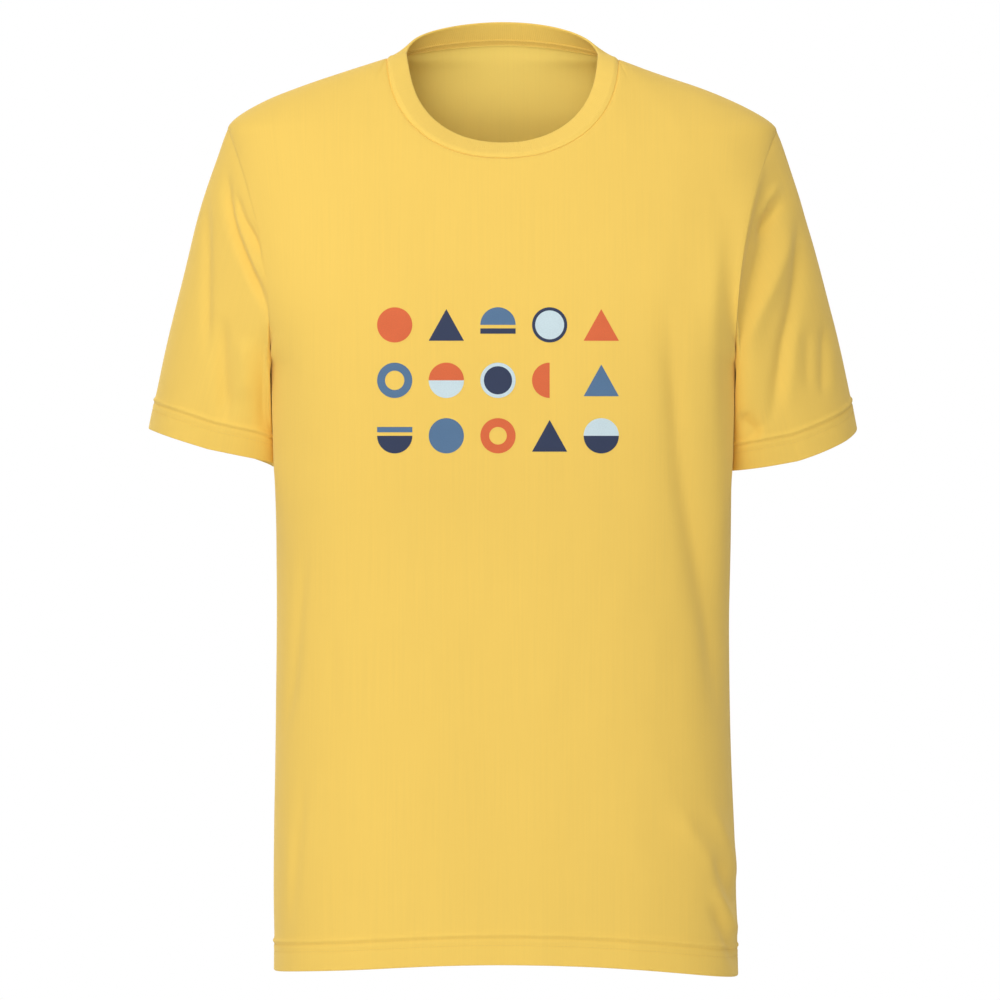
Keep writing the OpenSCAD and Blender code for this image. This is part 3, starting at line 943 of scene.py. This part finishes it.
loop_turn = np.linspace(0, 2 * np.pi, 8 * SAMPLES)
loop_run = run_length(neck_point(loop_turn))
neck_length = loop_run[-1]


def band_frame(turn):
    """The seam's points with the directions up the band and out of it."""
    seam = neck_point(turn)
    inward = -unit(seam * np.array([1, 1, 0]))
    far_lean = np.where(np.sin(turn) > 0, BAND_LEAN_BACK, BAND_LEAN_FRONT)
    far = np.hypot(np.sin(turn), LEAN_SOFTNESS)
    far = (far - LEAN_SOFTNESS) / (np.hypot(1, LEAN_SOFTNESS) - LEAN_SOFTNESS)
    lean = (BAND_LEAN_SIDE + (far_lean - BAND_LEAN_SIDE) * far)[:, None]
    up = inward * np.sin(lean) + np.array([0, 0, 1]) * np.cos(lean)
    along = unit(np.roll(seam, -1, axis=0) - np.roll(seam, 1, axis=0))
    return seam, up, unit(np.cross(along, up))


def neck_seam(turn):
    """Where the panels' cloth ends at the neck."""
    known = np.concatenate([back.neck_turn[NECK_RANGE], front.neck_turn[NECK_RANGE]])
    points = np.concatenate([back.points[-1, NECK_RANGE], front.points[-1, NECK_RANGE]])
    return sampled(turn, known, points)


def neckband():
    """A doubled band of fine rib, folded at its free edge."""
    columns = RIB_COLUMNS * int(neck_length / RIB_PITCH)
    turn = np.interp(np.linspace(0, neck_length, columns, endpoint=False), loop_run, loop_turn)
    seam, up, out = band_frame(turn)
    wave = np.cos(np.arange(columns) * 2 * np.pi / RIB_COLUMNS)
    half = RIB_THICKNESS / 2
    bend_height = BAND_WIDTH - half
    face = np.concatenate([BAND_FOOT_ROWS, np.linspace(BAND_FACE_START, bend_height, BAND_FACE_ROWS)])
    bend = np.linspace(0, np.pi, BEND_STEPS + 2)[1:-1]
    profile = [(h, BAND_FOOT + (half - BAND_FOOT) * step(*BAND_FOOT_RISE, h)) for h in face]
    profile += [(bend_height + half * np.sin(a), half * np.cos(a)) for a in bend]
    profile += [(h, -half) for h in face[::-1]]
    rows = []
    for height, depth in profile:
        rise = RIB_HEIGHT * step(0, RIB_START, height) * np.sign(depth if depth else 1)
        rows.append(seam + up * height + out * (depth + wave * rise)[:, None])
    foot_line = neck_seam(turn)
    points = np.array([foot_line, *rows, foot_line])
    across = np.repeat(np.arange(columns)[None] * neck_length / columns, len(points), axis=0)
    along = run_length(points)
    return sheet_object("neckband_rib", points, rib, across, along, True, neck_length, thickness=0)


band = neckband()

# Tapes and seam allowances inside

band_seam, band_up, band_out = band_frame(TAPE_TURN)
band_out[0], band_out[-1] = band_out[1], band_out[-2]
tape_heights = np.linspace(TAPE_START, TAPE_START + NECK_TAPE_WIDTH, TAPE_ROWS)
tape_face = RIB_THICKNESS / 2 + TAPE_GAP
tape_points = np.array([band_seam + band_up * h - band_out * tape_face for h in tape_heights])
tape_across = np.repeat(run_length(band_seam)[None], TAPE_ROWS, axis=0)
tape_along = np.repeat(tape_heights[:, None], len(TAPE_TURN), axis=1)
neck_tape = sheet_object(
    "neck_tape_strip", tape_points[::-1], tape, tape_across, tape_along, thickness=TAPE_THICKNESS
)

inner_rows = slice(hem_rows + 1, front.armpit_row + 1)
edge_columns = int(np.searchsorted(back.from_edge[front.armpit_row // 2, :SHOULDER_COLUMNS], SEAM_WIDTH))
side_seams = {
    word: strip_object(word + "_side_allowance", back, inner_rows, columns, LINING, jersey)
    for word, columns in (("left", slice(0, edge_columns)), ("right", slice(-edge_columns, None)))
}
tape_rows = int(np.searchsorted(back.from_top[::-1, SHOULDER_COLUMNS // 2], SHOULDER_TAPE_WIDTH))
shoulder_tapes = {
    word: strip_object(word + "_shoulder_strip", back, slice(-tape_rows, None), columns, LINING, tape)
    for word, columns in (("left", slice(2, corner_column)), ("right", slice(-corner_column, -2)))
}
armhole_seams, underarm_seams = {}, {}
for word, side in SIDES.items():
    sleeve = sleeves[word]
    seam_rows = int(np.searchsorted(sleeve.from_top[:, 0], SEAM_WIDTH)) + 1
    armhole_seams[word] = strip_object(
        word + "_armhole_allowance", sleeve, slice(0, seam_rows), slice(None), LINING, jersey, True
    )
    lowest = int(np.argmin(sleeve.points[0, :, 2]))
    first = lowest if side > 0 else lowest - UNDERARM_COLUMNS + 1
    rows = slice(seam_rows, UNDERARM_HEM_ROWS - HEM_STEPS.size)
    columns = slice(first, first + UNDERARM_COLUMNS)
    underarm_seams[word] = strip_object(word + "_underarm_allowance", sleeve, rows, columns, LINING, jersey)

# Stitching

body_stitches = stitch_rows("hem_stitches", hem_lines(front) + hem_lines(back), thread)
cuff_stitches = stitch_rows("cuff_stitches", hem_lines(sleeves["left"]) + hem_lines(sleeves["right"]), thread)
tape_lines = [(tape_points[k] - band_out * TAPE_STITCH_LIFT, -band_out) for k in (1, -2)]
tape_stitches = stitch_rows("neck_tape_stitches", tape_lines, thread)

# Chest print: plain shapes in rows

PRINT_COLOURS = {
    "navy": rgb(47, 57, 84),
    "orange": rgb(222, 106, 62),
    "steel": rgb(86, 118, 152),
    "pale": rgb(205, 224, 230),
}
PRINT_CENTRE = (-4 * MM, -263 * MM)
PRINT_CELL = (41 * MM, 44 * MM)
PRINT_LIFT = 0.12 * MM
PRINT_LAYER = 0.5
CELL_ROUND = 14 * MM
PATCH = (9, 49)


def disc(s, t, inner=0.0, first=0.0, last=1.0):
    """A disc, ring or sector in the unit square's places."""
    angle = 2 * np.pi * (first + (last - first) * s)
    size = inner + (1 - inner) * t
    return np.cos(angle) * size, np.sin(angle) * size


def triangle(s, t):
    """A triangle that stands on its base."""
    return (2 * s - 1) * t, 0.9 - 1.8 * t


def bar(s, t, low, high):
    """A level bar between two heights."""
    return 2 * s - 1, low + (high - low) * t


SHAPES = {
    "disc": (disc, {}),
    "dome": (disc, {"last": 0.5}),
    "bowl": (disc, {"first": 0.5}),
    "half": (disc, {"first": 0.25, "last": 0.75}),
    "hoop": (disc, {"inner": 0.82}),
    "rim": (disc, {"inner": 0.8}),
    "ring": (disc, {"inner": 0.55}),
    "tyre": (disc, {"inner": 0.5}),
    "peak": (triangle, {}),
    "bar_below": (bar, {"low": -0.5, "high": -0.2}),
    "bar_above": (bar, {"low": 0.2, "high": 0.5}),
}

# Each cell's inks and shapes; a cell may hold two
PRINT_ROWS = [
    ["orange disc", "navy peak", "steel dome, navy bar_below", "pale disc, navy hoop", "orange peak"],
    ["steel ring", "pale bowl, orange dome", "navy disc, pale rim", "orange half", "steel peak"],
    ["navy bowl, steel bar_above", "steel disc", "orange tyre", "navy peak", "pale dome, navy bowl"],
]


def printed_shapes():
    """Patches of ink over the front panel, one object per colour."""
    faces, _, _ = grid_faces(*front.points.shape[:2], False)
    tree = BVHTree.FromPolygons(front.points.reshape(-1, 3).tolist(), faces.tolist())
    s, t = np.meshgrid(np.linspace(0, 1, PATCH[1]), np.linspace(0, 1, PATCH[0]))
    patch_faces, _, _ = grid_faces(*PATCH, False)
    inks = {ink: ([], [], []) for ink in PRINT_COLOURS}
    for i, row in enumerate(PRINT_ROWS):
        for j, cell in enumerate(row):
            x0 = PRINT_CENTRE[0] + (j - (len(row) - 1) / 2) * PRINT_CELL[0]
            z0 = PRINT_CENTRE[1] - (i - (len(PRINT_ROWS) - 1) / 2) * PRINT_CELL[1]
            for order, words in enumerate(cell.split(", ")):
                ink, name = words.split()
                shape, options = SHAPES[name]
                x, z = shape(s, t, **options)
                flat = np.stack([x0 + CELL_ROUND * x.ravel(), z0 + CELL_ROUND * z.ravel()], axis=-1)
                lift = PRINT_LIFT * (1 + PRINT_LAYER * order)
                patch = []
                for px, pz in flat:
                    hit, normal, _, _ = tree.ray_cast(Vector((px, -1, pz)), Vector((0, 1, 0)))
                    patch.append(hit + normal * lift)
                vertices, quads, places = inks[ink]
                quads += (patch_faces + len(flat) * len(vertices)).tolist()
                vertices.append(np.array(patch))
                places.append(flat[patch_faces])
    things = []
    for ink, (vertices, quads, places) in inks.items():
        material = ink_material("ink_" + ink, PRINT_COLOURS[ink])
        uv = np.concatenate(places)
        things.append(make_object("print_" + ink, np.concatenate(vertices), quads, material, uv))
    return things


prints = printed_shapes()

# What stands for what

stand_ins = [
    (front_panel, ("front_panel", "front_hem_fold"), "jersey"),
    (back_panel, ("back_panel", "back_hem_fold"), "jersey"),
]
stand_ins += [(sleeve_cloths[word], (word + "_sleeve", word + "_cuff_fold"), "jersey") for word in SIDES]
stand_ins += [(band, ("neckband",), "rib"), (neck_tape, ("neck_tape",), "tape")]
for strips, node, slot in (
    (shoulder_tapes, "_shoulder_tape", "tape"),
    (side_seams, "_side_seam", "jersey"),
    (armhole_seams, "_armhole_seam", "jersey"),
    (underarm_seams, "_underarm_seam", "jersey"),
):
    stand_ins += [(strips[word], (word + node,), slot) for word in SIDES]
for thing, nodes, slot in stand_ins:
    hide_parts(*nodes)


# The seam strips that go with each sleeve, with the cuff stitches put with the left one
sleeve_pieces = {word: [armhole_seams[word], underarm_seams[word]] for word in SIDES}
sleeve_pieces["left"].append(cuff_stitches)

# Stage; a lamp has its place and size in metres, and its power in watts

FLOOR_DROP = 1.3
FLOOR_RADIUS = 6
FLOOR_COLOUR = (0.86, 0.86, 0.86, 1)
FLOOR_GLOW = 0.36
WORLD_LIGHT = 0.39
LAMP_AIM = Vector((0, 0, -0.3))
LAMPS = {
    "upper": ((-0.57, -3.23, 2.0), 2.5, 32),
    "front": ((-0.69, -3.92, 0.05), 2.5, 41),
    "side": ((-3.16, -0.85, 2.0), 2.5, 16),
    "top": ((-0.3, -1.2, 2.0), 1.5, 10),
    "back": ((-0.9, 3.3, 1.6), 2.5, 42),
}
CAMERA_DISTANCE = 6.0
CAMERA_SENSOR = 36
CAMERA_FAR = 60
IMAGE_WIDTH = 1000
PIXEL = 0.81 * MM
PHOTO_CENTRE = (-2.4 * MM, -358 * MM)


def add_floor():
    """A pale floor that keeps its shadow, and looks a little brighter to the camera."""
    shader = Shader(bpy.data.materials.new("floor"))
    place = shader.node("ShaderNodeTexCoord").outputs["Object"]
    mottle = shader.span(shader.noise(place, 3.0), 0.98, 1.02)
    shader.set(Base_Color=shader.shade(FLOOR_COLOUR, mottle), Roughness=0.9)
    seen = shader.node("ShaderNodeLightPath").outputs["Is Camera Ray"]
    glow = shader.node("ShaderNodeEmission", {"Strength": shader.math("MULTIPLY", seen, FLOOR_GLOW)})
    pale = shader.node("ShaderNodeAddShader", {0: shader.surface.outputs[0], 1: glow.outputs[0]})
    shader.put(shader.tree.nodes["Material Output"].inputs[0], pale.outputs[0])
    bpy.ops.mesh.primitive_circle_add(
        vertices=96, radius=FLOOR_RADIUS, fill_type="NGON", location=(0, 0, -FLOOR_DROP)
    )
    floor = bpy.context.object
    floor.name = "floor"
    floor.data.materials.append(shader.owner)


def add_surround():
    """A soft even light from all around, seen as white."""
    shader = Shader(bpy.data.worlds.new("surround"))
    bpy.context.scene.world = shader.owner
    path = shader.node("ShaderNodeLightPath")
    seen = shader.math("MAXIMUM", path.outputs["Is Camera Ray"], path.outputs["Is Glossy Ray"])
    light = shader.tree.nodes["Background"]
    white = shader.node("ShaderNodeBackground")
    for background, strength in ((light, WORLD_LIGHT), (white, 1.0)):
        background.inputs[0].default_value = (1, 1, 1, 1)
        background.inputs[1].default_value = strength
    mix = shader.node("ShaderNodeMixShader", {0: seen, 1: light.outputs[0], 2: white.outputs[0]})
    shader.put(shader.tree.nodes["World Output"].inputs[0], mix.outputs[0])


def add_lamps():
    """Broad lamps in front and above, most of them to the left, and one behind."""
    for name, (place, size, power) in LAMPS.items():
        lamp = bpy.data.lights.new(name, "AREA")
        lamp.size = size
        lamp.energy = power
        holder = bpy.data.objects.new(name, lamp)
        spot = Vector(place)
        turn = (LAMP_AIM - spot).to_track_quat("-Z", "Y")
        holder.matrix_world = Matrix.Translation(spot) @ turn.to_matrix().to_4x4()
        bpy.context.collection.objects.link(holder)


def add_camera():
    """The camera, square on to the front."""
    lens = bpy.data.cameras.new("camera")
    lens.sensor_width = CAMERA_SENSOR
    lens.lens = CAMERA_SENSOR * CAMERA_DISTANCE / (IMAGE_WIDTH * PIXEL)
    lens.clip_end = CAMERA_FAR
    camera = bpy.data.objects.new("camera", lens)
    camera.location = (PHOTO_CENTRE[0], -CAMERA_DISTANCE, PHOTO_CENTRE[1])
    camera.rotation_euler = (np.pi / 2, 0, 0)
    bpy.context.collection.objects.link(camera)
    bpy.context.scene.camera = camera
    bpy.context.scene.view_settings.view_transform = "Standard"


add_floor()
add_surround()
add_lamps()
add_camera()
